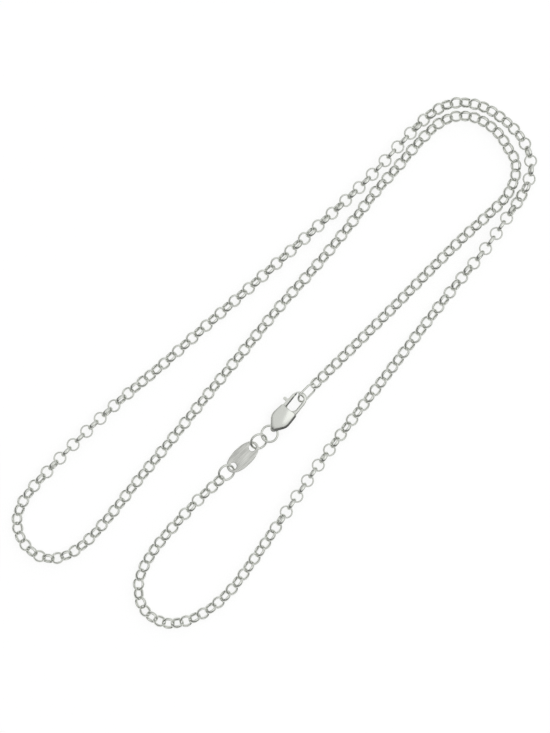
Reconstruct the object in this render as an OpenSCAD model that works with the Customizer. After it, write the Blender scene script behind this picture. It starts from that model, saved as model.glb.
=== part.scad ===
// Rolo chain necklace, closed by a lobster clasp beside an oval tag and laid out flat.
// X runs along the strands, Y across them and Z is up from the surface at zero.
// The round links between the two end links are drawn as one tube in two halves that meet.

/* [Chain link] */
// Outer diameter of one round link
link_od = 2.46; // [2.3:0.02:2.56]
// Wall of the band, from the outside to the hole
link_wall = 0.3; // [0.24:0.02:0.32]
// Width of the band along the link's own axis
link_band = 0.66; // [0.56:0.02:0.7]
// Thickness left at the two edges of the crowned band
link_edge = 0.12; // [0.08:0.02:0.16]

/* [Jump rings] */
// Outer diameter of the three round jump rings
ring_od = 3.55; // [3.3:0.05:3.8]
// Wire of the jump rings
ring_wire = 0.46; // [0.4:0.02:0.5]
// Slack between two rings that pull on each other
ring_slack = 0.12; // [0.08:0.02:0.2]

/* [Oval ring] */
// Length of the soldered oval ring on the hook
oval_l = 4.6; // [4.2:0.1:5]
// Width of the soldered oval ring
oval_w = 3; // [2.8:0.1:3.4]
// Wire of the soldered oval ring
oval_wire = 0.42; // [0.36:0.02:0.46]

/* [Tag] */
// Length of the oval tag
tag_l = 7.5; // [7:0.1:8.4]
// Width of the oval tag
tag_w = 3.9; // [3.6:0.1:4.4]
// Thickness of the oval tag
tag_t = 0.35; // [0.3:0.05:0.4]
// Diameter of each hole in the tag
tag_hole_d = 1.4; // [1.3:0.05:1.6]
// Metal between a hole and the end of the tag
tag_rim = 0.5; // [0.4:0.05:0.7]

/* [Clasp body] */
// Length of the clasp from its tail to its hook
clasp_l = 9.5; // [9.2:0.1:10.5]
// Width of the teardrop housing
clasp_w = 4.1; // [3.9:0.1:4.4]
// Height of the housing at the crown of its dome
clasp_t = 2.2; // [2.1:0.05:2.4]
// Width of the rounded tail
tail_w = 1.3; // [1.2:0.05:1.4]
// Diameter of the crosswise hole in the tail
tail_hole_d = 1; // [0.96:0.02:1.1]
// Metal between the tail hole and the end of the tail
tail_wall = 0.35; // [0.3:0.05:0.5]
// Outer width of the round hook
hook_w = 3.4; // [3.3:0.05:3.6]
// Wall of the hook, from its outside to the eye
hook_wall = 0.65; // [0.55:0.05:0.75]
// Thickness of the hook, upright
hook_t = 0.9; // [0.75:0.05:1.05]
// Length of the eye along the clasp
eye_l = 3.5; // [3.2:0.1:3.7]

/* [Clasp lever] */
// Thickness of the lever, upright
lever_t = 0.7; // [0.6:0.05:0.8]
// Width of the lever's arm
lever_w = 0.8; // [0.7:0.05:0.85]
// How far the thumb nub stands out of the arm
nub_l = 0.75; // [0.5:0.05:0.9]
// Width of the thumb nub
nub_w = 0.6; // [0.5:0.05:0.8]
// Diameter of the pin that the lever turns on
pin_d = 0.5; // [0.44:0.02:0.54]
// Running clearance round the pin, on the radius
pin_gap = 0.04; // [0.03:0.01:0.06]
// Clearance between the lever and the body
lever_gap = 0.06; // [0.05:0.01:0.1]
// How far the lever opens, in degrees
lever_open = 12; // [8:1:14]

/* [Hidden] */
$fn = 64;
silver = "gainsboro";
dull_silver = "silver";

// Links lean 45 degrees to either side, so the chain is as wide and as high as a leaning link
chain_w = (link_od + link_band) * sin(45);
tube_sides = 8;
tube_r = chain_w / 2 / cos(180 / tube_sides);
end_gap = 0.1;

// Clasp, in its own frame: X from the tail to the hook, Y towards the lever
clasp_at = [-12.8, -5.5];
clasp_turn = 4;
body_r = clasp_w / 2;
body_x = 3;
tail_r = tail_w / 2;
tail_hole_x = tail_wall + tail_hole_d / 2;
mid_z = clasp_t / 2;
hook_r = hook_w / 2;
hook_x = clasp_l - hook_r;
hook_y = hook_r - body_r;
eye_r = hook_r - hook_wall;
eye_x = hook_x + eye_r - eye_l;
bar_r = hook_r - hook_wall / 2;
low_y = hook_y + eye_r;
tip_y = low_y + 0.1;
pin_x = body_x + 1.3;
pin_y = 0.7;
hub_r = 0.5;
front_x = eye_x + 0.05;
// How far past the housing's front the thumb nub starts
nub_step = 0.75;
// The hook ends at this angle round its own middle, where the lever's end meets it
hook_end = 51;
hook_arc = 152;
tip_r = norm([hook_x + bar_r * cos(hook_end) - pin_x, hook_y + bar_r * sin(hook_end) - pin_y]);
// Clearance of the rivet pin in the body, and its depth under the dome
pin_fit = 0.01;
pin_top = mid_z + lever_t / 2 + 0.3;
pin_low = 0.03;

// The domed top is part of a barrel that is rounder across the clasp than along it
dome_r = 4.5;
dome_long_r = 14;

// Places along the hardware, each worked out from the piece before it
function dir(a) = [cos(a), sin(a)];
function turned(p, a) = [p[0] * cos(a) - p[1] * sin(a), p[0] * sin(a) + p[1] * cos(a)];
function on_clasp(p) = clasp_at + turned(p, clasp_turn);
function at_z(p, z) = [p[0], p[1], z];

ring_r = (ring_od - ring_wire) / 2;
ring_hole = ring_od - 2 * ring_wire;
ring_step = ring_hole - ring_slack;
// How far a ring's wire is pulled off the middle of a hole, and how high the pieces lie above the surface
hole_pull = 0.16;
rest_gap = 0.01;
// Each piece leans about the line of the chain
tail_ring_roll = -8;
ring_roll = 33;
tag_roll = -17;
oval_roll = 52.5;
oval_pitch = 3;
first_roll = -45;
last_roll = -50;
ring_z = ring_r * sin(ring_roll) + ring_wire / 2 + rest_gap;
tag_z = ring_z - 0.08;
oval_z = (oval_w - oval_wire) / 2 * sin(oval_roll) + oval_wire / 2 + 0.1;
tail_ring_head = 185;
tag_ring_head = 168;
tag_head = 177;
last_head = 181;
tail_hole_at = on_clasp([tail_hole_x, 0]);
tail_ring_at = tail_hole_at + (ring_r - ring_slack / 2) * dir(tail_ring_head);
tag_ring_at = tail_ring_at + ring_step * dir(tag_ring_head);
tag_reach = ring_r + hole_pull;
tag_end_x = tag_l / 2 - tag_rim - tag_hole_d / 2;
tag_at = tag_ring_at + (tag_reach + tag_end_x) * dir(tag_head);
chain_ring_at = tag_at + (tag_end_x + tag_reach) * dir(tag_head);
last_step = ring_hole / 2 + link_od / 2 - link_wall - ring_slack;
last_at = chain_ring_at + last_step * dir(last_head);
chain_end = last_at + (link_od / 2 + end_gap) * dir(last_head);

// The oval ring's wire passes the hook's eye just under the middle of its round end
oval_head = -1;
oval_at = on_clasp([hook_x, hook_y - 0.1]) + (oval_l - oval_wire) / 2 * dir(oval_head);
first_step = oval_l / 2 - oval_wire + link_od / 2 - link_wall - 2 * ring_slack;
first_at = oval_at + first_step * dir(oval_head);
chain_start = first_at + (link_od / 2 + end_gap) * dir(0);

// Middle line of the chain seen from above, from the hook round to the tag
route = concat([chain_start], [
    [11, -6], [21, -6.4], [31, -6.7], [40, -7.1], [46, -7.6],
    [50, -7.7], [52.5, -7.1], [54.7, -6], [56.4, -4.2], [57.2, -1.5], [57.9, 1], [57.9, 3.8],
    [57.1, 6.8], [55, 9.5], [52, 11], [48.5, 11.4], [44.5, 11.4], [40.5, 11.2],
    [35, 11.1], [26, 10.3], [16, 9.7], [6, 9.5], [-5, 8.8], [-16, 8.1], [-27, 7.3], [-38, 6.6], [-47, 5.9],
    [-52, 5.9], [-55.5, 6.5], [-58.3, 7.9], [-60.1, 10.2], [-60.6, 13], [-60, 15.8], [-58.2, 18.3],
    [-55.5, 19.7], [-52, 20.3], [-47.5, 20.4],
    [-40, 20.3], [-29, 19.6], [-18, 18.3], [-7, 17.3], [4, 16.2], [15, 15.2], [26, 14.3], [35, 13.8], [43, 13.8],
    [47.5, 13.8], [51, 13.6], [54.4, 12.8], [57.1, 11.1], [58.8, 8.9], [60, 6.2], [60.5, 3.3], [60.6, 0.3],
    [60.2, -2.6], [59.1, -5.3], [57.2, -7.6], [54.5, -9.1], [51.5, -9.9], [47, -10.6],
    [41, -11.5], [31, -12.2], [20, -13.2], [9, -14.3], [-2, -15.3], [-13, -16.6], [-24, -18.3], [-34, -19.8],
    [-39.5, -20.4], [-44, -20.2], [-47.5, -19.4], [-50.6, -18], [-52.9, -16], [-54, -13.6], [-54.1, -11],
    [-52.9, -8.5], [-50.8, -6.5], [-48, -5.3], [-44, -4.5],
    [-38, -4.2], [-32, -4.2]
], [chain_end]);
// Point of the route where the two halves of the chain meet
meet = floor(len(route) / 2);

// One ring of the tube, upright across the route at point i
function heading(i) = let (a = route[max(i - 1, 0)], b = route[min(i + 1, len(route) - 1)])
    atan2(b[1] - a[1], b[0] - a[0]);
function tube_ring(i) = [for (k = [0 : tube_sides - 1])
    let (t = (k + 0.5) * 360 / tube_sides, side = tube_r * cos(t), up = tube_r * sin(t))
    [route[i][0] - side * sin(heading(i)), route[i][1] + side * cos(heading(i)), chain_w / 2 + up]];

// Points of an arc in the flat, both ends included
function arc(c, r, a, b, n = 8) = [for (k = [0 : n]) c + r * dir(a + (b - a) * k / n)];

// Turns a ring that lies flat about the line of the chain and sets it in its place
module placed(at, z, head, roll = 0, pitch = 0) {
    translate([at[0], at[1], z]) rotate([0, 0, head]) rotate([0, pitch, 0]) rotate([roll, 0, 0]) children();
}

// Tube round the route from one of its points to another
module tube(from, to) {
    n = to - from + 1;
    points = [for (i = [from : to]) each tube_ring(i)];
    sides = [for (i = [0 : n - 2], k = [0 : tube_sides - 1])
        let (a = i * tube_sides + k, b = i * tube_sides + (k + 1) % tube_sides)
        each [[a, b, b + tube_sides], [a, b + tube_sides, a + tube_sides]]];
    caps = [[for (k = [tube_sides - 1 : -1 : 0]) k], [for (k = [0 : tube_sides - 1]) (n - 1) * tube_sides + k]];
    polyhedron(points, concat(sides, caps));
}

module chain_inner() {
    color(silver) tube(0, meet);
}

module chain_outer() {
    color(silver) tube(meet, len(route) - 1);
}

// Round link whose band is flat inside and crowned outside
module round_link() {
    crown = link_wall - link_edge;
    crown_r = (link_band * link_band / 4 + crown * crown) / (2 * crown);
    rotate_extrude() intersection() {
        translate([link_od / 2 - crown_r, 0]) circle(crown_r);
        translate([link_od / 2 - link_wall, -link_band / 2]) square([link_wall, link_band]);
    }
}

module first_link() {
    color(silver) placed(first_at, chain_w / 2, 0, first_roll) round_link();
}

module last_link() {
    color(silver) placed(last_at, chain_w / 2, 0, last_roll) round_link();
}

// Round ring of wire
module jump_ring() {
    rotate_extrude() translate([ring_r, 0]) circle(d = ring_wire);
}

module tail_ring() {
    color(silver) placed(tail_ring_at, mid_z, tail_ring_head - 180, tail_ring_roll) jump_ring();
}

module tag_ring() {
    color(silver) placed(tag_ring_at, ring_z, tag_ring_head - 180, ring_roll) jump_ring();
}

module chain_ring() {
    color(silver) placed(chain_ring_at, ring_z, tag_head - 180, ring_roll) jump_ring();
}

// Oval ring of wire, soldered closed, longer along X
module oval_ring() {
    bend_r = (oval_w - oval_wire) / 2;
    run = oval_l - oval_w;
    for (s = [0, 180]) rotate(s) {
        translate([run / 2, 0]) rotate(-90) rotate_extrude(angle = 180) translate([bend_r, 0]) circle(d = oval_wire);
        translate([-run / 2, bend_r]) rotate([0, 90, 0]) cylinder(h = run, d = oval_wire);
    }
}

module clasp_ring() {
    color(silver) placed(oval_at, oval_z, oval_head, oval_roll, oval_pitch) oval_ring();
}

// Oval plate with a hole at each end
module tag() {
    color(dull_silver) placed(tag_at, tag_z, tag_head - 180, tag_roll) difference() {
        linear_extrude(tag_t, center = true) polygon([for (a = [0 : 6 : 354])
            [tag_l / 2 * sign(cos(a)) * pow(abs(cos(a)), 0.92), tag_w / 2 * sign(sin(a)) * pow(abs(sin(a)), 0.92)]]);
        for (s = [-1, 1]) translate([s * tag_end_x, 0]) cylinder(h = 2 * tag_t, d = tag_hole_d, center = true);
    }
}

module on_clasp() {
    translate([clasp_at[0], clasp_at[1], 0]) rotate(clasp_turn) children();
}

// Slopes of the outline between the tail, the housing and the hook
tail_slope = acos((tail_r - body_r) / (body_x - tail_r));
hook_vec = [hook_x - body_x, hook_y];
hook_slope = atan2(hook_vec[1], hook_vec[0]) + acos((body_r - hook_r) / norm(hook_vec));
shoulder = [body_x, 0] + body_r * dir(hook_slope);
hook_top = [hook_x, hook_y] + hook_r * dir(hook_slope);
function top_y(x) = shoulder[1] + (x - shoulder[0]) * (hook_top[1] - shoulder[1]) / (hook_top[0] - shoulder[0]);

// Teardrop housing, domed on top and flat underneath
module housing() {
    front = front_x + 0.3;
    intersection() {
        linear_extrude(clasp_t + 1) polygon(concat(
            arc([tail_r, 0], tail_r, tail_slope, 360 - tail_slope),
            arc([body_x, 0], body_r, 360 - tail_slope, 270, 6),
            [[front, -body_r], [front, hook_y], [front_x, tip_y], [front_x - 0.4, top_y(front_x - 0.4)]],
            arc([body_x, 0], body_r, hook_slope, tail_slope)));
        translate([body_x, 0, clasp_t - dome_r]) rotate([0, 90, 0]) rotate_extrude() intersection() {
            translate([dome_r - dome_long_r, 0]) circle(dome_long_r);
            translate([0, -clasp_l / 2]) square([dome_r, clasp_l]);
        }
    }
}

// Section of the hook's bar, upright and round at its top and bottom
module hook_section() {
    flat = (hook_t - hook_wall) / 2;
    for (s = [-1, 1]) translate([0, s * flat]) circle(d = hook_wall);
    square([hook_wall, 2 * flat], center = true);
}

module clasp_body() {
    open_y = pin_y + turned([front_x + 1 - pin_x, low_y - pin_y], -lever_open)[1] - lever_gap;
    color(silver) on_clasp() difference() {
        union() {
            difference() {
                housing();
                translate([eye_x + eye_r, hook_y, -1]) cylinder(h = clasp_t + 2, r = eye_r);
            }
            translate([hook_x, hook_y, mid_z]) rotate(-90) rotate_extrude(angle = hook_arc)
                translate([bar_r, 0]) hook_section();
            translate([front_x, hook_y - bar_r, mid_z]) rotate([90, 0, 90])
                linear_extrude(hook_x - front_x) hook_section();
        }
        // The lever's end sweeps this curve
        intersection() {
            translate([pin_x, pin_y, 0]) cylinder(h = clasp_t, r = tip_r);
            translate([eye_x + eye_r, 0, 0]) cube([clasp_l, clasp_w, clasp_t]);
        }
        // Slot that the lever turns in
        translate([0, 0, mid_z - lever_t / 2 - lever_gap]) linear_extrude(lever_t + 2 * lever_gap) polygon([
            [pin_x - hub_r - lever_gap, pin_y - hub_r - lever_gap], [front_x + 1, open_y],
            [front_x + 1, body_r + 1], [pin_x + hub_r, body_r + 1],
            [pin_x - hub_r - lever_gap, pin_y + hub_r + lever_gap]]);
        translate([pin_x, pin_y, -1]) cylinder(h = pin_top + 1, d = pin_d + 2 * pin_fit);
        translate([tail_hole_x, 0, mid_z]) rotate([90, 0, 0]) cylinder(h = clasp_w, d = tail_hole_d, center = true);
    }
}

module clasp_pin() {
    color(silver) on_clasp() translate([pin_x, pin_y, pin_low]) cylinder(h = pin_top - 2 * pin_low, d = pin_d);
}

module clasp_lever() {
    color(silver) on_clasp() translate([0, 0, mid_z - lever_t / 2]) linear_extrude(lever_t) difference() {
        union() {
            translate([pin_x, pin_y]) circle(hub_r);
            intersection() {
                polygon([[pin_x, pin_y - hub_r], [front_x + 0.3, low_y], [clasp_l, low_y], [clasp_l, hook_top[1] - 0.5],
                    [hook_top[0], hook_top[1]], [front_x, low_y + lever_w], [pin_x, pin_y + hub_r]]);
                translate([pin_x, pin_y]) circle(tip_r - lever_gap);
            }
            translate([front_x + nub_step, low_y + lever_w / 2]) square([nub_w, lever_w / 2 + nub_l]);
        }
        translate([pin_x, pin_y]) circle(d = pin_d + 2 * pin_gap);
    }
}

chain_inner();
chain_outer();
first_link();
last_link();
clasp_ring();
tail_ring();
tag_ring();
chain_ring();
tag();
clasp_body();
clasp_pin();
clasp_lever();
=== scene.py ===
# %% [markdown]
# # A rolo chain necklace in Blender
# The necklace lies on a white table: 273 round links in three long folds, a lobster clasp, an oval
# ring, three jump rings and an oval tag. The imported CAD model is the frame. It says where everything
# is, and this script gives it its looks: real links in place of the CAD tubes, worked metal for the
# small parts, and the table and light of a product photograph.

# %% Load the frame
import math
import random

import bmesh
import bpy
from bmesh.types import BMEdge, BMFace, BMVert
from mathutils import Matrix, Vector


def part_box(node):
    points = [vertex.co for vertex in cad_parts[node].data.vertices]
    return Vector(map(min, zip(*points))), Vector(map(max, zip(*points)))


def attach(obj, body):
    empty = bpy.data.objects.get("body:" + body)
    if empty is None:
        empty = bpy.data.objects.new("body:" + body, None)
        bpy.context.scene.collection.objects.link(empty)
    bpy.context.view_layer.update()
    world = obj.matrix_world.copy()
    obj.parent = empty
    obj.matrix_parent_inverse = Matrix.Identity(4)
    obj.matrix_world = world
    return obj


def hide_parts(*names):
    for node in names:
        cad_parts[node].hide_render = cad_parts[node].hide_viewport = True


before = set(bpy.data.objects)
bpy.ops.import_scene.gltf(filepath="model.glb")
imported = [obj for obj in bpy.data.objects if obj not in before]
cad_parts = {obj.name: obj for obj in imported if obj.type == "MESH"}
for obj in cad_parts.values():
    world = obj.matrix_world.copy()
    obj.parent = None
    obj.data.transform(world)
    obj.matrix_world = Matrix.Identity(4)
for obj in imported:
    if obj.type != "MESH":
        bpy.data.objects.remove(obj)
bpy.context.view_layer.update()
MM = 0.001

# %% [markdown]
# ## Small helpers
# Colours are written as the hex values that a paint program shows, and Blender wants them linear, so
# one function turns them. A second one adds a shader node with its settings and links in one line.
# Its inputs go by their names, with _ for a space, or by number as i0, i1 and so on.

# %% Helpers for colours and nodes
def linear(code):
    parts = [int(code[i:i + 2], 16) / 255 for i in (1, 3, 5)]
    return [c / 12.92 if c <= 0.04045 else ((c + 0.055) / 1.055) ** 2.4 for c in parts] + [1.0]


def add_node(tree, kind, settings=None, **inputs):
    made = tree.nodes.new(kind)
    for name, value in (settings or {}).items():
        setattr(made, name, value)
    for name, value in inputs.items():
        by_number = name[0] == "i" and name[1:].isdigit()
        socket = made.inputs[int(name[1:]) if by_number else name.replace("_", " ")]
        if isinstance(value, bpy.types.NodeSocket):
            tree.links.new(value, socket)
        else:
            socket.default_value = value
    return made


print("white as Blender holds it:", linear("#FFFFFF"))

# %% [markdown]
# ## The camera
# The photograph is taken from straight above with the strands running up to the right, so the camera
# looks down and is rolled by 47 degrees. A long lens keeps the far ends of the chain free of
# perspective. The picture is 733 pixels high and one pixel is 0.19 mm, which sets the distance.

# %% Camera
PIXEL = 0.19 * MM
PHOTO_HEIGHT = 733
PHOTO_TURN = math.radians(47)
PHOTO_MIDDLE = Vector((-3.37, 2.40, 1.1)) * MM

lens = bpy.data.cameras.new("long_lens")
lens.lens = 135
lens.sensor_width = 36
lens.clip_start, lens.clip_end = 0.05, 20
distance = PIXEL * PHOTO_HEIGHT * lens.lens / lens.sensor_width
camera = bpy.data.objects.new("camera", lens)
bpy.context.scene.collection.objects.link(camera)
camera.location = PHOTO_MIDDLE + Vector((0, 0, distance))
camera.rotation_euler = (0, 0, -PHOTO_TURN)
bpy.context.scene.camera = camera
print("camera height in mm:", round(distance / MM))

# %% [markdown]
# ## Table and light
# Silver shows what is round it. A product photographer lays it on a white table that glows a little,
# so that shadows nearly vanish, hangs one soft lamp above, and lets the room stay darker towards the
# horizon. The dark horizon draws the grey lines along the sides of each link.

# %% Table
TABLE_SIDE = 6.0
table_mesh = bmesh.new()
bmesh.ops.create_grid(table_mesh, x_segments=1, y_segments=1, size=TABLE_SIDE / 2)
table_data = bpy.data.meshes.new("table")
table_mesh.to_mesh(table_data)
table_mesh.free()
table = bpy.data.objects.new("table", table_data)
bpy.context.scene.collection.objects.link(table)

paper = bpy.data.materials.new("white_table")
paper.use_nodes = True
shader = paper.node_tree.nodes["Principled BSDF"]
shader.inputs["Base Color"].default_value = linear("#8F8F8F")
shader.inputs["Roughness"].default_value = 0.9
shader.inputs["Specular IOR Level"].default_value = 0.0
shader.inputs["Emission Color"].default_value = linear("#FFFFFF")
shader.inputs["Emission Strength"].default_value = 0.8
table_data.materials.append(paper)
print("table of", TABLE_SIDE, "m")

# %% Room light, darker at the horizon
ROOM_TILT = math.radians(-22)
BELOW, ABOVE = "#A0A0A0", "#F4F4F4"
BANDS = [(0.1, "#787878"), (0.17, "#4C4C4C"), (0.34, "#4C4C4C"), (0.48, "#C8C8C8"), (0.62, "#F6F6F6")]

bpy.context.scene.view_settings.view_transform = "Standard"
world = bpy.data.worlds.new("room")
bpy.context.scene.world = world
world.use_nodes = True
tree = world.node_tree
where = add_node(tree, "ShaderNodeTexCoord")
tilted = add_node(tree, "ShaderNodeMapping", Vector=where.outputs["Generated"], Rotation=(0, ROOM_TILT, 0))
axes = add_node(tree, "ShaderNodeSeparateXYZ", i0=tilted.outputs["Vector"])
ramp = add_node(tree, "ShaderNodeValToRGB", i0=axes.outputs["Z"])
stops = ramp.color_ramp.elements
stops[0].position, stops[0].color = 0.0, linear(BELOW)
stops[1].position, stops[1].color = 1.0, linear(ABOVE)
for position, code in BANDS:
    stops.new(position).color = linear(code)
tree.nodes["Background"].inputs["Strength"].default_value = 1.0
tree.links.new(ramp.outputs["Color"], tree.nodes["Background"].inputs["Color"])
print("room light with", len(stops), "greys")

# %% Soft lamp
lamp_data = bpy.data.lights.new("soft_lamp", "AREA")
lamp_data.shape = "RECTANGLE"
lamp_data.size, lamp_data.size_y = 0.6, 0.6
lamp_data.energy = 0.5
lamp = bpy.data.objects.new("soft_lamp", lamp_data)
bpy.context.scene.collection.objects.link(lamp)
lamp.location = (0.3, -0.3, 0.74)
lamp.rotation_euler = (-lamp.location).to_track_quat("-Z", "Y").to_euler()
print("lamp", round(lamp.location.length, 2), "m away")

# %% [markdown]
# ## Polished silver
# Sterling silver is cast or drawn, then tumbled with steel shot until it shines. Up close it isn't a
# mirror: the shot leaves a soft waviness of about a third of a millimetre, and handling leaves a haze
# of fine scratches, which shows as a slightly uneven gloss. The plain colour and roughness that each
# metal starts with also serve a program that can't read the noise.

# %% Polished silver
def metal(name, code, roughness):
    made = bpy.data.materials.new(name)
    made.use_nodes = True
    face = made.node_tree.nodes["Principled BSDF"]
    face.inputs["Base Color"].default_value = linear(code)
    face.inputs["Metallic"].default_value = 1.0
    face.inputs["Roughness"].default_value = roughness
    return made, made.node_tree, face


HAZE, WAVE = 0.8 * MM, 0.33 * MM
silver, tree, face = metal("tumbled_sterling_silver", "#D6D8D2", 0.2)
place = add_node(tree, "ShaderNodeTexCoord").outputs["Object"]
haze = add_node(tree, "ShaderNodeTexNoise", Vector=place, Scale=1 / HAZE, Detail=4.0)
gloss = add_node(tree, "ShaderNodeMapRange", Value=haze.outputs["Fac"], To_Min=0.14, To_Max=0.3)
tree.links.new(gloss.outputs["Result"], face.inputs["Roughness"])
waves = add_node(tree, "ShaderNodeTexNoise", Vector=place, Scale=1 / WAVE, Detail=2.0)
bump = add_node(tree, "ShaderNodeBump", Height=waves.outputs["Fac"], Strength=0.25, Distance=0.01 * MM)
tree.links.new(bump.outputs["Normal"], face.inputs["Normal"])
print(silver.name, "has", len(tree.nodes), "nodes")

# %% [markdown]
# ## Brushed silver
# The tag is brushed along its length, which leaves fine parallel lines and a duller face. The lines of
# a real brush are 0.02 to 0.05 mm wide; they are drawn about 0.1 mm wide here, coarser than the real
# ones, so that they show. A noise drawn out along the tag makes them, in the gloss, in the grey of the
# metal and in its height.

# %% Brushed silver
TAG_HEADING = -3
BRUSH_LINE, BRUSH_RUN = 0.12 * MM, 25
STREAKS = [(0.36, "#B9BAB5"), (0.62, "#E2E3DE")]

brushed, tree, face = metal("lengthwise_brushed_silver", "#D3D4CF", 0.34)
place = add_node(tree, "ShaderNodeTexCoord").outputs["Object"]
along = add_node(tree, "ShaderNodeMapping", {"vector_type": "TEXTURE"}, Vector=place,
                 Rotation=(0, 0, math.radians(TAG_HEADING)), Scale=(BRUSH_RUN, 1, 1))
lines = add_node(tree, "ShaderNodeTexNoise", Vector=along.outputs["Vector"], Scale=1 / BRUSH_LINE, Detail=5.0)
gloss = add_node(tree, "ShaderNodeMapRange", Value=lines.outputs["Fac"], To_Min=0.2, To_Max=0.5)
tree.links.new(gloss.outputs["Result"], face.inputs["Roughness"])
greys = add_node(tree, "ShaderNodeValToRGB", i0=lines.outputs["Fac"])
for stop, (position, code) in zip(greys.color_ramp.elements, STREAKS):
    stop.position, stop.color = position, linear(code)
tree.links.new(greys.outputs["Color"], face.inputs["Base Color"])
bump = add_node(tree, "ShaderNodeBump", Height=lines.outputs["Fac"], Strength=0.5, Distance=0.02 * MM)
tree.links.new(bump.outputs["Normal"], face.inputs["Normal"])
print(brushed.name, "has", len(tree.nodes), "nodes")

# %% [markdown]
# ## The line of the chain
# The chain's middle line is the route that the CAD source follows, point by point, from the link on
# the clasp's ring to the link beside the tag. A smooth curve goes through the points, and the links
# are set along it at one even pitch.

# %% Route of the chain, in millimetres
ROUTE = [
    (11, -6), (21, -6.4), (31, -6.7), (40, -7.1), (46, -7.6), (50, -7.7), (52.5, -7.1), (54.7, -6),
    (56.4, -4.2), (57.2, -1.5), (57.9, 1), (57.9, 3.8), (57.1, 6.8), (55, 9.5), (52, 11), (48.5, 11.4),
    (44.5, 11.4), (40.5, 11.2), (35, 11.1), (26, 10.3), (16, 9.7), (6, 9.5), (-5, 8.8), (-16, 8.1),
    (-27, 7.3), (-38, 6.6), (-47, 5.9), (-52, 5.9), (-55.5, 6.5), (-58.3, 7.9), (-60.1, 10.2),
    (-60.6, 13), (-60, 15.8), (-58.2, 18.3), (-55.5, 19.7), (-52, 20.3), (-47.5, 20.4), (-40, 20.3),
    (-29, 19.6), (-18, 18.3), (-7, 17.3), (4, 16.2), (15, 15.2), (26, 14.3), (35, 13.8), (43, 13.8),
    (47.5, 13.8), (51, 13.6), (54.4, 12.8), (57.1, 11.1), (58.8, 8.9), (60, 6.2), (60.5, 3.3),
    (60.6, 0.3), (60.2, -2.6), (59.1, -5.3), (57.2, -7.6), (54.5, -9.1), (51.5, -9.9), (47, -10.6),
    (41, -11.5), (31, -12.2), (20, -13.2), (9, -14.3), (-2, -15.3), (-13, -16.6), (-24, -18.3),
    (-34, -19.8), (-39.5, -20.4), (-44, -20.2), (-47.5, -19.4), (-50.6, -18), (-52.9, -16), (-54, -13.6),
    (-54.1, -11), (-52.9, -8.5), (-50.8, -6.5), (-48, -5.3), (-44, -4.5), (-38, -4.2), (-32, -4.2)]


def middle(node):
    low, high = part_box(node)
    return (low + high) / 2


first_at, last_at = middle("first_link"), middle("last_link")
stations = [first_at.xy] + [Vector(p) * MM for p in ROUTE] + [last_at.xy]
print("route of", len(stations), "points")


# %% A smooth curve through the route
def smooth_line(points, steps=24):
    gaps = [(b - a).length for a, b in zip(points, points[1:])]
    slopes = [(b - a) / g for a, b, g in zip(points, points[1:], gaps)]
    ways = [slopes[0]] + [(slopes[i] * gaps[i + 1] + slopes[i + 1] * gaps[i]) / (gaps[i] + gaps[i + 1])
                          for i in range(len(gaps) - 1)] + [slopes[-1]]
    curve = []
    for i, gap in enumerate(gaps):
        for j in range(steps):
            t = j / steps
            curve.append((2 * t**3 - 3 * t**2 + 1) * points[i] + (t**3 - 2 * t**2 + t) * gap * ways[i]
                         + (3 * t**2 - 2 * t**3) * points[i + 1] + (t**3 - t**2) * gap * ways[i + 1])
    return curve + [points[-1]]


LINKS = 273
line = smooth_line(stations)
reach = [0.0]
for a, b in zip(line, line[1:]):
    reach.append(reach[-1] + (b - a).length)
pitch = reach[-1] / (LINKS - 1)
print(f"chain of {LINKS} links, {reach[-1] / MM:.1f} mm at a pitch of {pitch / MM:.3f} mm")


# %% Reading a value between the rows of a short table, and a point between the curve's points
def between(table, x):
    for (x0, y0), (x1, y1) in zip(table, table[1:]):
        if x <= x1:
            return y0 + (y1 - y0) * max(0.0, x - x0) / (x1 - x0)
    return table[-1][1]


def on_line(distance_along):
    low, high = 0, len(reach) - 1
    while high - low > 1:
        mid = (low + high) // 2
        low, high = (mid, high) if reach[mid] <= distance_along else (low, mid)
    share = (distance_along - reach[low]) / (reach[high] - reach[low])
    return line[low].lerp(line[high], share)


# %% [markdown]
# ## How each link lies
# Neighbouring links stand square to each other. On a table they lean 45 degrees to either side, and
# the chain twists slowly as it goes, so that in some stretches one row lies flat and the other stands
# up. The table below holds that twist in degrees by the number of the link. The second one says how
# far the links have slipped along the line, in millimetres, where the chain lies slack or taut.

# %% Twist and slip along the chain
LEAN = 45
TWIST = [(0, -3), (35, -8), (50, -12), (95, -10), (107, -8), (110.5, 0), (114, 12), (118, 25), (121, 45),
         (126, 40), (130, 20), (132.5, 0), (136, -12), (145, -14), (155, -22), (163, -32), (167, -45),
         (170, -40), (175, -5), (178, 0), (180, 8), (184, 15), (188, 38), (190, 40), (192.5, 0),
         (195, -45), (199, -42), (202, -20), (208, -8), (216, 0), (219, 12), (224, 20), (228, 42),
         (234, 40), (237, 8), (246, 12), (250, 12), (254, 0), (257, 10), (261.5, 0), (265, -10),
         (269, -22), (272, -5)]
SLIP = [(0, 0), (5, .05), (10, .06), (20, -.04), (30, -.11), (36, -.08), (44, .06), (49.5, 0),
        (54.5, -.13), (64.5, -.26), (74.5, -.24), (84.5, -.14), (99.5, 0), (104.5, 0), (109.5, -.19),
        (114.5, -.18), (124.5, 0), (134.5, -.05), (144.5, .09), (164.5, .02), (174.5, -.05), (184.5, 0),
        (189.5, -.2), (194.5, -.5), (199.5, -.62), (209.5, -.46), (229.5, -.23), (244.5, .02),
        (249.5, .1), (254.5, -.31), (257, -.35), (261, -.26), (272, 0)]


def roll_of(k):
    return between(TWIST, k) + (-LEAN if k % 2 == 0 else LEAN)


print("links lean from", min(map(roll_of, range(LINKS))), "to", max(map(roll_of, range(LINKS))), "degrees")

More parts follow.
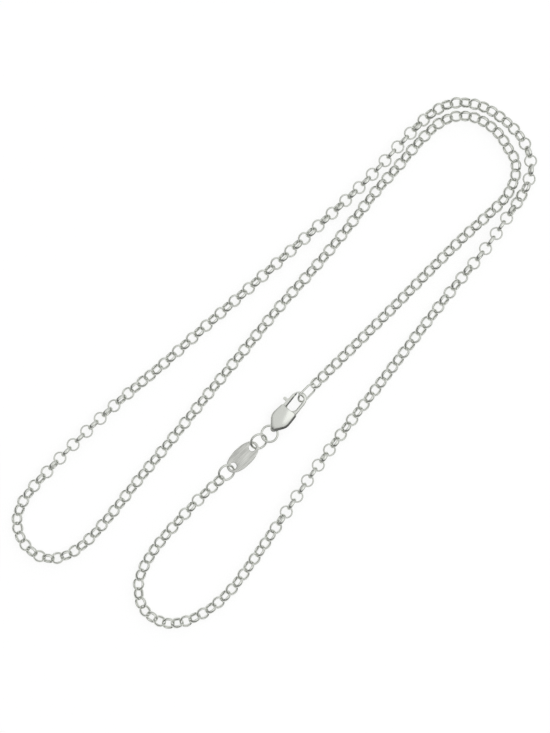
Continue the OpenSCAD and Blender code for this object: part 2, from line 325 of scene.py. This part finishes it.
# %% [markdown]
# ## One round link
# A rolo link is a short piece of tube bent from half-round wire: flat inside, crowned outside. Six
# points make the section, a spin of twelve steps makes the ring, and one level of subdivision rounds
# both. Subdivision pulls a ring of corners inwards, so the radii are made a little larger first. Two
# hundred and seventy such links need a plain mesh: this one has 72 faces.

# %% Link section, as radius and place along the link's axis in millimetres, and ring
LINK_STEPS = 12
SHRINK = (3 + math.cos(2 * math.pi / LINK_STEPS)) / 4
SECTION = [(0.945, -0.24), (0.945, 0.24), (1.12, 0.395), (1.3, 0.24), (1.3, -0.24), (1.12, -0.395)]


def make_link():
    ring = bmesh.new()
    corners = [ring.verts.new((r * MM / SHRINK, 0, z * MM)) for r, z in SECTION]
    edges = [ring.edges.new((a, b)) for a, b in zip(corners, corners[1:] + corners[:1])]
    bmesh.ops.spin(ring, geom=corners + edges, cent=(0, 0, 0), axis=(0, 0, 1), angle=2 * math.pi,
                   steps=LINK_STEPS, use_merge=True)
    bmesh.ops.recalc_face_normals(ring, faces=ring.faces)
    data = bpy.data.meshes.new("one_link")
    ring.to_mesh(data)
    ring.free()
    return data


one_link = make_link()
print("one link:", len(one_link.polygons), "faces before subdivision")

# %% [markdown]
# ## Where each link rests
# A link that leans touches the table with its rim, so its middle lies higher the more it stands up.
# Four points just outside the rounded link stand for its side, and the one that reaches lowest sets
# the height. The last few links at both ends pass over to the height of the CAD model's end links, and
# none lies lower than it may. Each link is also rolled by a degree or so of its own, because no chain
# lies as evenly as a drawing.

# %% Height of a leaning link, from the points of its side as radius and half width
SIDE = [(1.1, 0.367), (1.2, 0.318), (1.275, 0.2), (1.3, 0)]


def rest_height(twist):
    steep = math.radians(LEAN + abs(twist))
    return max(r * math.sin(steep) + a * math.cos(steep) for r, a in SIDE) * MM


print("middle of a link in mm:", [round(rest_height(twist) / MM, 2) for twist in (0, LEAN)])

# %% Place of every link
LINK_LIFT, END_LINKS, OWN_ROLL = 0.02 * MM, 4, 1.5


def place_of(k):
    along = k * pitch + between(SLIP, k) * MM
    here = on_line(along)
    way = on_line(min(along + pitch, reach[-1])) - on_line(max(along - pitch, 0))
    lowest = rest_height(between(TWIST, k))
    share = min(1.0, min(k, LINKS - 1 - k) / END_LINKS)
    height = max(first_at.z * (1 - share) + (lowest + LINK_LIFT) * share, lowest)
    roll = math.radians(roll_of(k) + random.uniform(-OWN_ROLL, OWN_ROLL))
    return (Matrix.Translation((here.x, here.y, height))
            @ Matrix.Rotation(math.atan2(way.y, way.x), 4, "Z") @ Matrix.Rotation(roll, 4, "X"))


# %% Finishing a piece: smooth faces, its place in the frame and its material
SHARP = math.radians(32)


def finish_piece(mesh, name, material, node, body="necklace", rounds=0):
    data = bpy.data.meshes.new(name)
    mesh.to_mesh(data)
    mesh.free()
    piece = bpy.data.objects.new(name, data)
    bpy.context.scene.collection.objects.link(piece)
    data.materials.append(material)
    for polygon in data.polygons:
        polygon.use_smooth = True
    if rounds:
        rounding = piece.modifiers.new("round", "SUBSURF")
        rounding.levels = rounding.render_levels = rounds
    else:
        data.set_sharp_from_angle(angle=SHARP)
    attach(piece, body)
    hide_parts(node)
    print(name, "has", len(data.polygons), "faces")


# %% Links joined as the CAD nodes divide the chain
MEET_POINT = Vector((-7, 17.3)) * MM
meet = min(range(LINKS), key=lambda k: (on_line(k * pitch) - MEET_POINT).length)


def chain_piece(numbers, name, node):
    joined = bmesh.new()
    for k in numbers:
        before = len(joined.verts)
        joined.from_mesh(one_link)
        joined.verts.ensure_lookup_table()
        bmesh.ops.transform(joined, matrix=place_of(k), verts=joined.verts[before:])
    finish_piece(joined, name, silver, node, rounds=1)


random.seed(7)
chain_piece([0], "round_link_at_hook", "first_link")
chain_piece(range(1, meet + 1), "rolo_links_inner", "chain_inner")
chain_piece(range(meet + 1, LINKS - 1), "rolo_links_outer", "chain_outer")
chain_piece([LINKS - 1], "round_link_at_tag", "last_link")

# %% [markdown]
# ## Jump rings
# A jump ring is round wire wound on a rod and cut, and its ends are pressed together, so each ring has
# a hair-thin seam. A closed torus would have none. A circle spun almost all the way round has one, and
# both cut ends are closed and inset a little, as a saw leaves them.

# %% Where a ring lies: its middle from the CAD node, then its turns in degrees
def lay(node, heading, roll, tilt=0):
    placed = Matrix.Translation(middle(node))
    for degrees, axis in ((heading, "Z"), (tilt, "Y"), (roll, "X")):
        placed = placed @ Matrix.Rotation(math.radians(degrees), 4, axis)
    return placed @ Matrix.Scale(MM, 4)


WIRE_SIDES = 16


def wire_circle(mesh, radius, wire):
    upright = Matrix.Translation((radius, 0, 0)) @ Matrix.Rotation(math.pi / 2, 4, "X")
    return bmesh.ops.create_circle(mesh, segments=WIRE_SIDES, radius=wire / 2, matrix=upright)["verts"]


def only(kind, items):
    return [item for item in items if isinstance(item, kind)]


# %% Jump rings, 3.55 mm across, of 0.46 mm wire, each with its seam where a maker turned it
RING_STEPS = 64
RING_ACROSS, RING_WIRE, RING_SEAM = 3.55, 0.46, 0.04
CUT_INSET, CUT_DEPTH = 0.03, 0.012


def jump_ring(name, node, heading, roll, seam_at):
    ring = bmesh.new()
    radius = (RING_ACROSS - RING_WIRE) / 2
    start = wire_circle(ring, radius, RING_WIRE)
    edges = list({e for v in start for e in v.link_edges})
    made = bmesh.ops.spin(ring, geom=start + edges, cent=(0, 0, 0), axis=(0, 0, 1),
                          angle=2 * math.pi - RING_SEAM / radius, steps=RING_STEPS)
    for loop in (edges, only(BMEdge, made["geom_last"])):
        cap = bmesh.ops.contextual_create(ring, geom=loop)["faces"]
        bmesh.ops.inset_region(ring, faces=cap, thickness=CUT_INSET, depth=CUT_DEPTH)
    bmesh.ops.recalc_face_normals(ring, faces=ring.faces)
    seam_turn = Matrix.Rotation(math.radians(seam_at), 3, "Z")
    bmesh.ops.rotate(ring, verts=ring.verts, cent=(0, 0, 0), matrix=seam_turn)
    bmesh.ops.transform(ring, matrix=lay(node, heading, roll), verts=ring.verts)
    finish_piece(ring, name, silver, node)


jump_ring("jump_ring_in_tail", "tail_ring", 5, -8, 70)
jump_ring("jump_ring_clasp_side", "tag_ring", -12, 33, 250)
jump_ring("jump_ring_chain_side", "chain_ring", -3, 33, 110)

# %% [markdown]
# ## The oval ring
# The ring that the clasp hooks into is worn by every opening, so it is soldered shut and has no seam.
# Two half rings are spun and moved apart, and their open ends are bridged into the straight sides.

# %% Oval ring, soldered shut
OVAL_LONG, OVAL_WIDE, OVAL_WIRE, OVAL_STEPS = 4.6, 3.0, 0.42, 24
OVAL_HEADING, OVAL_ROLL, OVAL_TILT = -1, 52.5, 3


def oval_ring():
    ring = bmesh.new()
    run, radius = (OVAL_LONG - OVAL_WIDE) / 2, (OVAL_WIDE - OVAL_WIRE) / 2
    loops = []
    for side in (-1, 1):
        start = wire_circle(ring, radius, OVAL_WIRE)
        edges = list({e for v in start for e in v.link_edges})
        turn = Matrix.Rotation(-side * math.pi / 2, 3, "Z")
        bmesh.ops.rotate(ring, verts=start, cent=(0, 0, 0), matrix=turn)
        made = bmesh.ops.spin(ring, geom=start + edges, cent=(0, 0, 0), axis=(0, 0, 1),
                              angle=math.pi, steps=OVAL_STEPS)
        bend = {v for f in ring.faces for v in f.verts if not f.tag}
        bmesh.ops.translate(ring, verts=list(bend), vec=(side * run, 0, 0))
        for f in ring.faces:
            f.tag = True
        loops += [edges, only(BMEdge, made["geom_last"])]
    bmesh.ops.bridge_loops(ring, edges=loops[0] + loops[3])
    bmesh.ops.bridge_loops(ring, edges=loops[1] + loops[2])
    bmesh.ops.recalc_face_normals(ring, faces=ring.faces)
    placed = lay("clasp_ring", OVAL_HEADING, OVAL_ROLL, OVAL_TILT)
    bmesh.ops.transform(ring, matrix=placed, verts=ring.verts)
    finish_piece(ring, "oval_ring_on_hook", silver, "clasp_ring")


oval_ring()

# %% [markdown]
# ## The tag
# A small oval plate is stamped from sheet with a hole at each end, and its edges are broken by
# tumbling. The outline and the two holes are filled, the plate gets its thickness by an extrusion, and
# a narrow bevel rounds every rim, which catches the light along the tag's side.

# %% Tag; a fullness below 1 makes its oval fuller at the corners
TAG_LONG, TAG_WIDE, TAG_THICK = 7.5, 3.9, 0.35
TAG_HOLE, TAG_HOLE_X = 0.7, 2.55
TAG_FULLNESS, TAG_ROUND, TAG_ROLL = 0.92, 0.15, -17
RIM_ANGLE = math.radians(60)


def thicken(mesh, faces, thickness):
    """Pulls flat faces up into a closed solid with its faces outwards."""
    made = bmesh.ops.extrude_face_region(mesh, geom=faces)["geom"]
    bmesh.ops.translate(mesh, verts=only(BMVert, made), vec=(0, 0, thickness))
    bmesh.ops.recalc_face_normals(mesh, faces=mesh.faces)


def make_tag():
    plate = bmesh.new()
    for v in bmesh.ops.create_circle(plate, segments=96, radius=1)["verts"]:
        v.co = [size / 2 * math.copysign(abs(c) ** TAG_FULLNESS, c)
                for size, c in ((TAG_LONG, v.co.x), (TAG_WIDE, v.co.y))] + [0]
    for side in (-1, 1):
        hole_at = Matrix.Translation((side * TAG_HOLE_X, 0, 0))
        bmesh.ops.create_circle(plate, segments=40, radius=TAG_HOLE, matrix=hole_at)
    sheet = bmesh.ops.triangle_fill(plate, edges=plate.edges, use_beauty=True)["geom"]
    thicken(plate, only(BMFace, sheet), TAG_THICK)
    bmesh.ops.translate(plate, verts=plate.verts, vec=(0, 0, -TAG_THICK / 2))
    rims = [e for e in plate.edges if e.is_manifold and e.calc_face_angle() > RIM_ANGLE]
    bmesh.ops.bevel(plate, geom=rims, offset=TAG_ROUND, segments=3, profile=0.5, affect="EDGES", material=-1)
    bmesh.ops.transform(plate, matrix=lay("tag", TAG_HEADING, TAG_ROLL), verts=plate.verts)
    finish_piece(plate, "oval_end_tag", brushed, "tag")


make_tag()

# %% [markdown]
# ## The lobster clasp
# The clasp is cast in one piece: a teardrop housing with a crowned face and a rounded edge, and a hook
# that leaves one corner and curls round the eye. Its outline is drawn as a maker would with compasses:
# straight runs and arcs from one point to the next, each arc a spin of the last point.

# %% Drawing an outline with runs and arcs, in the clasp's own millimetres
CLASP_AT, CLASP_TURN = Vector((-12.8, -5.5, 0)) * MM, math.radians(4)
CLASP_PLACE = Matrix.Translation(CLASP_AT) @ Matrix.Rotation(CLASP_TURN, 4, "Z") @ Matrix.Scale(MM, 4)
MERGE, CORNER_STEPS = 0.002, 6


def on_circle(centre, radius, degrees):
    turn = math.radians(degrees)
    return centre[0] + radius * math.cos(turn), centre[1] + radius * math.sin(turn)


def run_to(mesh, tip, point):
    tip = bmesh.ops.extrude_vert_indiv(mesh, verts=[tip])["verts"][0]
    tip.co = (*point, 0)
    return tip


def arc_round(mesh, tip, centre, degrees, steps):
    made = bmesh.ops.spin(mesh, geom=[tip], cent=(*centre, 0), axis=(0, 0, 1),
                          angle=math.radians(degrees), steps=steps)
    return only(BMVert, made["geom_last"])[0]


def filled(mesh, corners=()):
    """Closes the outline, fills it and rounds the corners, given as (x, y, radius)."""
    bmesh.ops.remove_doubles(mesh, verts=mesh.verts, dist=MERGE)
    loose = [v for v in mesh.verts if len(v.link_edges) == 1]
    if loose:
        mesh.edges.new(loose)
    face = bmesh.ops.contextual_create(mesh, geom=mesh.edges)["faces"][0]
    if face.normal.z < 0:
        face.normal_flip()
    for x, y, radius in corners:
        near = min(mesh.verts, key=lambda v: (v.co.xy - Vector((x, y))).length)
        bmesh.ops.bevel(mesh, geom=[near], offset=radius, segments=CORNER_STEPS, profile=0.5,
                        affect="VERTICES", material=-1)
    return max(mesh.faces, key=lambda f: f.calc_area())


# %% Pushing a face out, with its rim where the old face shouldn't stay inside
def pushed(mesh, face, keep_old=False):
    geom = [face] if keep_old else [face, *face.edges, *face.verts]
    return only(BMFace, bmesh.ops.extrude_face_region(mesh, geom=geom)["geom"])[0]


# %% Sizes of the clasp, as in the CAD model
BODY_R, BODY_X, TAIL_R, TAIL_HOLE_R, TAIL_HOLE_X = 2.05, 3.0, 0.65, 0.5, 0.85
HOOK_R, HOOK_X, HOOK_WALL, HOOK_HIGH, HOOK_ARC, HOOK_END = 1.7, 7.8, 0.65, 0.9, 152, 51
CLASP_HIGH, DOME_R, DOME_LONG_R, EYE_LONG, EYE_LIP = 2.2, 4.5, 14.0, 3.5, 0.05
HOOK_Y, MID_Z = HOOK_R - BODY_R, CLASP_HIGH / 2
EYE_R = HOOK_R - HOOK_WALL
FRONT_X = HOOK_X + EYE_R - EYE_LONG + EYE_LIP
BAR_R = HOOK_R - HOOK_WALL / 2
PIN_AT = (BODY_X + 1.3, 0.7)
TAIL_SLOPE = math.degrees(math.acos((TAIL_R - BODY_R) / (BODY_X - TAIL_R)))
HOOK_SLOPE = math.degrees(math.atan2(HOOK_Y, HOOK_X - BODY_X)
                          + math.acos((BODY_R - HOOK_R) / math.hypot(HOOK_X - BODY_X, HOOK_Y)))
SHOULDER = on_circle((BODY_X, 0), BODY_R, HOOK_SLOPE)
HOOK_TOP = on_circle((HOOK_X, HOOK_Y), HOOK_R, HOOK_SLOPE)
print(f"clasp of {HOOK_X + HOOK_R:.1f} mm, its eye {EYE_LONG} mm long")

# %% [markdown]
# ## The housing
# The housing is a drop of cast metal that a thumb holds, so its face is crowned and its rim soft.
# The outline is filled and pushed up to the crown's height. Narrow insets follow the crown and make
# the soft rim, and wider rings carry the crown to its top. A subdivided cage would need many more
# loops to keep the front straight and its corners tight, so the outline is drawn instead.

# %% Outline of the housing, whose lower side is a little flatter than its upper one
FRONT_BOW, FRONT_HALF, FRONT_OVER = 6.0, 1.1, 0.02
LOW_RUN_X, TOP_RUN_X = 3.9, 4.2
CORNER_LOW, CORNER_HIGH = 0.55, 0.45
LOW_SIDE = 0.93


def top_y(x):
    return SHOULDER[1] + (x - SHOULDER[0]) * (HOOK_TOP[1] - SHOULDER[1]) / (HOOK_TOP[0] - SHOULDER[0])


def housing_outline(house):
    """The drop seen from above, from the tail along its lower side to the front and back."""
    front = FRONT_X + FRONT_OVER
    tip = house.verts.new((*on_circle((TAIL_R, 0), TAIL_R, TAIL_SLOPE), 0))
    tip = arc_round(house, tip, (TAIL_R, 0), 360 - 2 * TAIL_SLOPE, 16)
    tip = run_to(house, tip, on_circle((BODY_X, 0), BODY_R, 360 - TAIL_SLOPE))
    tip = arc_round(house, tip, (BODY_X, 0), TAIL_SLOPE - 90, 10)
    for point in ((LOW_RUN_X, -BODY_R), (front, -BODY_R), (front, -FRONT_HALF)):
        tip = run_to(house, tip, point)
    bend = math.asin(FRONT_HALF / FRONT_BOW)
    tip = arc_round(house, tip, (front + FRONT_BOW * math.cos(bend), 0), -2 * math.degrees(bend), 6)
    for x in (front, TOP_RUN_X):
        tip = run_to(house, tip, (x, top_y(x)))
    tip = run_to(house, tip, SHOULDER)
    arc_round(house, tip, (BODY_X, 0), TAIL_SLOPE - HOOK_SLOPE, 12)
    base = filled(house, [(front, -BODY_R, CORNER_LOW), (front, top_y(front), CORNER_HIGH)])
    for v in base.verts:
        v.co.y *= LOW_SIDE if v.co.y < 0 else 1
    return base


# %% Wall, rim and crowned face; the rim as shares of its width and drops below the crown
TAIL_DROP_X, TAIL_DROP = 1.6, 0.12
EDGE_WIDE, EDGE_HIGH, EDGE_SHIFT = 0.34, 0.15, Vector((0.19, 0.25, 0))
EDGE = [(0.26, 0.1), (0.52, 0.045), (0.66, 0.02), (0.82, 0.005), (1.0, 0.0)]
CROWN_RINGS = (0.86, 0.82, 0.75, 0.6, 0.35)


def crown(x, y):
    ridge = DOME_R - DOME_LONG_R + math.sqrt(DOME_LONG_R**2 - (x - BODY_X)**2)
    tail = max(0.0, TAIL_DROP_X - x)
    return CLASP_HIGH - DOME_R + math.sqrt(ridge**2 - y**2) - TAIL_DROP * tail**2


def to_crown(corners, drop=0.0):
    for v in corners:
        v.co.z = crown(v.co.x, v.co.y) - drop


def raise_face(house, base):
    cap = pushed(house, base, keep_old=True)
    to_crown(cap.verts, EDGE_HIGH)
    done = 0
    for share, drop in EDGE:
        bmesh.ops.inset_region(house, faces=[cap], thickness=EDGE_WIDE * (share - done), use_even_offset=True)
        bmesh.ops.translate(house, verts=cap.verts, vec=EDGE_SHIFT * (share - done))
        to_crown(cap.verts, drop)
        done = share
    for share in CROWN_RINGS:
        cap = pushed(house, cap)
        inwards = Matrix.Translation((-BODY_X, 0, 0))
        bmesh.ops.scale(house, verts=cap.verts, vec=(share, share, 1), space=inwards)
        to_crown(cap.verts)
    to_crown(bmesh.ops.poke(house, faces=[cap])["verts"])


# %% Lower edge of the housing, as insets and heights
FOOT_HIGH = 0.15
FOOT = [(0.04, 0.05), (0.1, 0.0)]


def round_foot(house, base):
    for v in base.verts:
        v.co.z = FOOT_HIGH
    for inset, height in FOOT:
        bmesh.ops.inset_region(house, faces=[base], thickness=inset, use_even_offset=True)
        for v in base.verts:
            v.co.z = height


def make_housing():
    house = bmesh.new()
    base = housing_outline(house)
    raise_face(house, base)
    round_foot(house, base)
    bmesh.ops.recalc_face_normals(house, faces=house.faces)
    return house


# %% [markdown]
# ## The hook
# The hook is one casting with the housing. A round bar with straight sides is pushed out of the
# housing's front, in steps that are closer where it needs a web, and spun round the eye. Then each of
# its points is moved a little: the nose gets thicker, the bar runs further in, a web fills its root,
# its foot is flat, and it is pared where the oval ring lies over it, as a file would do when the ring
# rubbed.

# %% A bar, pushed out and bent
HOOK_ROOT, HOOK_BEND = 0.5, 30
HOOK_STEPS = (5.1, 5.3, 5.45, 5.6, 5.75, 5.9, 6.1, 6.4, HOOK_X)
TINY = 1e-4


def bent_bar():
    hook = bmesh.new()
    root_at = Matrix.Translation((FRONT_X - HOOK_ROOT, HOOK_Y - BAR_R, MID_Z))
    section = bmesh.ops.create_circle(hook, segments=24, radius=HOOK_WALL / 2, cap_ends=True,
                                      matrix=root_at @ Matrix.Rotation(math.pi / 2, 4, "Y"))["verts"]
    for v in section:
        if abs(v.co.z - MID_Z) > TINY:
            v.co.z += math.copysign((HOOK_HIGH - HOOK_WALL) / 2, v.co.z - MID_Z)
    cap = section[0].link_faces[0]
    for x in HOOK_STEPS:
        cap = pushed(hook, cap)
        for v in cap.verts:
            v.co.x = x
    bmesh.ops.spin(hook, geom=[cap, *cap.edges, *cap.verts], cent=(HOOK_X, HOOK_Y, 0), axis=(0, 0, 1),
                   angle=math.radians(HOOK_ARC), steps=HOOK_BEND)
    return hook


# %% From the bent bar to the cast hook
NOSE_WALL, BAR_Y, BAR_WALL = 0.82, 1.38, 0.7
WEB_X, WEB_LONG, WEB_UP, WEB_LIMIT = 6.15, 0.75, 0.5, 1.2
RELIEF, RELIEF_END, RELIEF_FADE, RELIEF_Y = 0.06, 8.8, 0.35, 0.2
HOOK_FOOT = 0.74
RING_AT = CLASP_PLACE.inverted() @ middle("clasp_ring")


def below_ring(z):
    """How far the hook may reach in y at a height z without touching the oval ring."""
    lean = math.radians(OVAL_ROLL)
    return RING_AT.y - (RING_AT.z - z) / math.tan(lean) - (OVAL_WIRE / 2 + RELIEF) / math.sin(lean)


def cast_point(at):
    out = at.xy - Vector((min(at.x, HOOK_X), HOOK_Y))
    inward = (HOOK_R - out.length) / HOOK_WALL
    across = Vector((HOOK_R - NOSE_WALL * inward, HOOK_R - HOOK_WALL * inward))
    if at.y < HOOK_Y:
        root = min(WEB_LIMIT, max(0.0, (WEB_X - at.x) / WEB_LONG))
        across.y = BAR_Y - (BAR_WALL + WEB_UP * root**2) * inward
    way = out.normalized()
    moved = Vector((min(at.x, HOOK_X) + way.x * across.x, HOOK_Y + way.y * across.y, at.z))
    if at.x > HOOK_X - TINY and moved.y < HOOK_Y - RELIEF_Y:
        near = min(1.0, max(0.0, (RELIEF_END - moved.x) / RELIEF_FADE))
        moved.y -= near * max(0.0, moved.y - below_ring(at.z))
    moved.z = max(at.z, HOOK_FOOT)
    return moved


def make_hook():
    hook = bent_bar()
    for v in hook.verts:
        v.co = cast_point(v.co.copy())
    bmesh.ops.recalc_face_normals(hook, faces=hook.faces)
    return hook


# %% [markdown]
# ## Slot and holes
# A maker saws the slot for the lever into the casting and drills the tail and the rivet's bore.
# Booleans do the same: housing and hook become one solid, and a block, a wedge and two round bars are
# taken away from it. The wedge frees the space that the lever's end swings through.

# %% Cutting and joining solids
def solid(mesh, name="cutter"):
    data = bpy.data.meshes.new(name)
    mesh.to_mesh(data)
    mesh.free()
    made = bpy.data.objects.new(name, data)
    bpy.context.scene.collection.objects.link(made)
    return made


def combine(target, tool, how):
    change = target.modifiers.new(how.lower(), "BOOLEAN")
    change.operation, change.solver, change.object = how, "EXACT", tool
    bpy.context.view_layer.update()
    done = bpy.data.meshes.new_from_object(target.evaluated_get(bpy.context.evaluated_depsgraph_get()))
    target.modifiers.clear()
    target.data = done
    bpy.data.objects.remove(tool)
    return target


def round_bar(centre, radius, length, turn=None):
    bar = bmesh.new()
    placed = Matrix.Translation(centre) @ (turn or Matrix.Identity(4))
    bmesh.ops.create_cone(bar, cap_ends=True, segments=48, radius1=radius, radius2=radius, depth=length,
                          matrix=placed)
    return solid(bar)


# %% Slot of the lever, and the space that its end sweeps in front of the hook's tip
LEVER_GAP, LEVER_THICK, HUB_R, LEVER_OPEN = 0.06, 0.7, 0.5, math.radians(12)
OUTSIDE_X, OUTSIDE_Y = FRONT_X + 1, 3.0
SWEEP_IN, SWEEP_FROM, SWEEP_TO, SWEEP_STEPS, SWEEP_HIGH = 2.5, -9, 25, 40, 3
TIP_R = math.dist(on_circle((HOOK_X, HOOK_Y), BAR_R, HOOK_END), PIN_AT)


def slot_tool():
    open_y = PIN_AT[1] - (OUTSIDE_X - PIN_AT[0]) * math.sin(LEVER_OPEN) - LEVER_GAP
    near = HUB_R + LEVER_GAP
    tool = bmesh.new()
    tip = tool.verts.new((PIN_AT[0] - near, PIN_AT[1] - near, 0))
    for point in ((OUTSIDE_X, open_y), (OUTSIDE_X, OUTSIDE_Y), (PIN_AT[0] + HUB_R, OUTSIDE_Y),
                  (PIN_AT[0] - near, PIN_AT[1] + near)):
        tip = run_to(tool, tip, point)
    face = filled(tool)
    bmesh.ops.translate(tool, verts=tool.verts, vec=(0, 0, MID_Z - LEVER_THICK / 2 - LEVER_GAP))
    thicken(tool, [face], LEVER_THICK + 2 * LEVER_GAP)
    return solid(tool)


def sweep_tool():
    tool = bmesh.new()
    tip = tool.verts.new((*on_circle(PIN_AT, SWEEP_IN, SWEEP_FROM), 0))
    tip = run_to(tool, tip, on_circle(PIN_AT, TIP_R, SWEEP_FROM))
    tip = arc_round(tool, tip, PIN_AT, SWEEP_TO - SWEEP_FROM, SWEEP_STEPS)
    run_to(tool, tip, on_circle(PIN_AT, SWEEP_IN, SWEEP_TO))
    thicken(tool, [filled(tool)], SWEEP_HIGH)
    return solid(tool)


# %% Clasp body: housing and hook in one, with its slot and holes
PIN_BORE_R, PIN_BORE_TOP, TAIL_THROUGH, SLIVER = 0.26, 1.75, 6, 0.0005


def place_in_clasp(piece):
    """The solid as a clean mesh, moved from the clasp's own millimetres to its place."""
    mesh = bmesh.new()
    mesh.from_mesh(piece.data)
    bpy.data.objects.remove(piece)
    bmesh.ops.remove_doubles(mesh, verts=mesh.verts, dist=SLIVER)
    bmesh.ops.transform(mesh, matrix=CLASP_PLACE, verts=mesh.verts)
    return mesh


level = Matrix.Rotation(math.pi / 2, 4, "X")
tail_bore = round_bar((TAIL_HOLE_X, 0, MID_Z), TAIL_HOLE_R, TAIL_THROUGH, level)
pin_bore = round_bar((*PIN_AT, 0), PIN_BORE_R, 2 * PIN_BORE_TOP)
body = combine(solid(make_housing(), "housing"), solid(make_hook(), "hook"), "UNION")
for tool in (slot_tool(), sweep_tool(), tail_bore, pin_bore):
    body = combine(body, tool, "DIFFERENCE")
finish_piece(place_in_clasp(body), "clasp_housing_and_hook", silver, "clasp_body")

# %% [markdown]
# ## The lever and its rivet
# The lever is a flat arm that turns on the rivet, closes against the hook's tip, and has a nub for the
# thumbnail. Its outline is drawn and extruded like the housing's, and its edges are bevelled, because
# a lever that is worked by hand all day has no sharp edge left. A slanting cut along the eye thins the
# arm's inner edge, which is where the photograph shows a bright and a dark line.

# %% Lever
NUB_X, NUB_WIDE, NUB_TOP = FRONT_X + 0.75, 0.6, 2.25
ARM_LOW_X, ARM_LOW_Y, ARM_TOP_Y, ARM_END_ARC = FRONT_X + 0.3, HOOK_Y + EYE_R, 1.5, 6
NUB_ROUND, NUB_FILLET, HEEL_ROUND, END_ROUND, LEVER_ROUND = 0.24, 0.12, 0.25, 0.1, 0.09


def arm_top(x):
    return ARM_TOP_Y + (x - FRONT_X) * (HOOK_TOP[1] - ARM_TOP_Y) / (HOOK_TOP[0] - FRONT_X)


def lever_outline(lever):
    end_r = TIP_R - LEVER_GAP
    nub_far = NUB_X + NUB_WIDE
    tip = lever.verts.new((PIN_AT[0], PIN_AT[1] + HUB_R, 0))
    tip = arc_round(lever, tip, PIN_AT, 180, 16)
    for point in ((ARM_LOW_X, ARM_LOW_Y), (PIN_AT[0] + end_r, ARM_LOW_Y)):
        tip = run_to(lever, tip, point)
    tip = arc_round(lever, tip, PIN_AT, ARM_END_ARC, 4)
    for point in (HOOK_TOP, (nub_far, arm_top(nub_far)), (nub_far, NUB_TOP), (NUB_X, NUB_TOP),
                  (NUB_X, arm_top(NUB_X)), (FRONT_X, ARM_TOP_Y)):
        tip = run_to(lever, tip, point)
    return filled(lever, [(nub_far, NUB_TOP, NUB_ROUND), (NUB_X, NUB_TOP, NUB_ROUND),
                          (NUB_X, arm_top(NUB_X), NUB_FILLET), (nub_far, arm_top(nub_far), NUB_FILLET),
                          (*HOOK_TOP, HEEL_ROUND), (*on_circle(PIN_AT, end_r, ARM_END_ARC), END_ROUND),
                          (PIN_AT[0] + end_r, ARM_LOW_Y, END_ROUND)])


def level_edges(mesh):
    return [e for e in mesh.edges if abs(e.verts[0].co.z - e.verts[1].co.z) < TINY]


def make_lever():
    lever = bmesh.new()
    face = lever_outline(lever)
    bmesh.ops.translate(lever, verts=lever.verts, vec=(0, 0, MID_Z - LEVER_THICK / 2))
    thicken(lever, [face], LEVER_THICK)
    bmesh.ops.bevel(lever, geom=level_edges(lever), offset=LEVER_ROUND, segments=3, profile=0.5,
                    affect="EDGES", material=-1)
    return solid(lever, "lever")


# %% Bore and slanting cuts of the lever
LEVER_BORE_R, LEVER_THROUGH = 0.29, 3
CHAMFER_X, CHAMFER_DEEP, CHAMFER_SLOPE, CHAMFER_BLOCK = FRONT_X + 2, 0.2, math.radians(37), (4.5, 3, 1)


def chamfer_tool(side):
    """A slanting block that takes the lever's edge off along the eye, above or below."""
    tool = bmesh.new()
    edge_at = Matrix.Translation((CHAMFER_X, ARM_LOW_Y, MID_Z + side * (LEVER_THICK / 2 - CHAMFER_DEEP)))
    block = Matrix.Translation((0, 0, side * CHAMFER_BLOCK[2] / 2)) @ Matrix.Diagonal((*CHAMFER_BLOCK, 1))
    slanted = edge_at @ Matrix.Rotation(side * CHAMFER_SLOPE, 4, "X") @ block
    bmesh.ops.create_cube(tool, size=1, matrix=slanted)
    return solid(tool)


lever = make_lever()
for tool in (round_bar((*PIN_AT, MID_Z), LEVER_BORE_R, LEVER_THROUGH), chamfer_tool(1), chamfer_tool(-1)):
    lever = combine(lever, tool, "DIFFERENCE")
finish_piece(place_in_clasp(lever), "clasp_thumb_lever", silver, "clasp_lever", body="lever")

# %% Rivet pin with rounded ends
PIN_R, PIN_LOW, PIN_OVER, PIN_ROUND = 0.25, 0.03, 0.27, 0.06
PIN_TOP = MID_Z + LEVER_THICK / 2 + PIN_OVER
pin = bmesh.new()
bmesh.ops.create_cone(pin, cap_ends=True, segments=32, radius1=PIN_R, radius2=PIN_R, depth=PIN_TOP - PIN_LOW,
                      matrix=Matrix.Translation((*PIN_AT, (PIN_TOP + PIN_LOW) / 2)))
bmesh.ops.bevel(pin, geom=level_edges(pin), offset=PIN_ROUND, segments=3, profile=0.5,
                affect="EDGES", material=-1)
bmesh.ops.transform(pin, matrix=CLASP_PLACE, verts=pin.verts)
finish_piece(pin, "rivet_pin", silver, "clasp_pin")
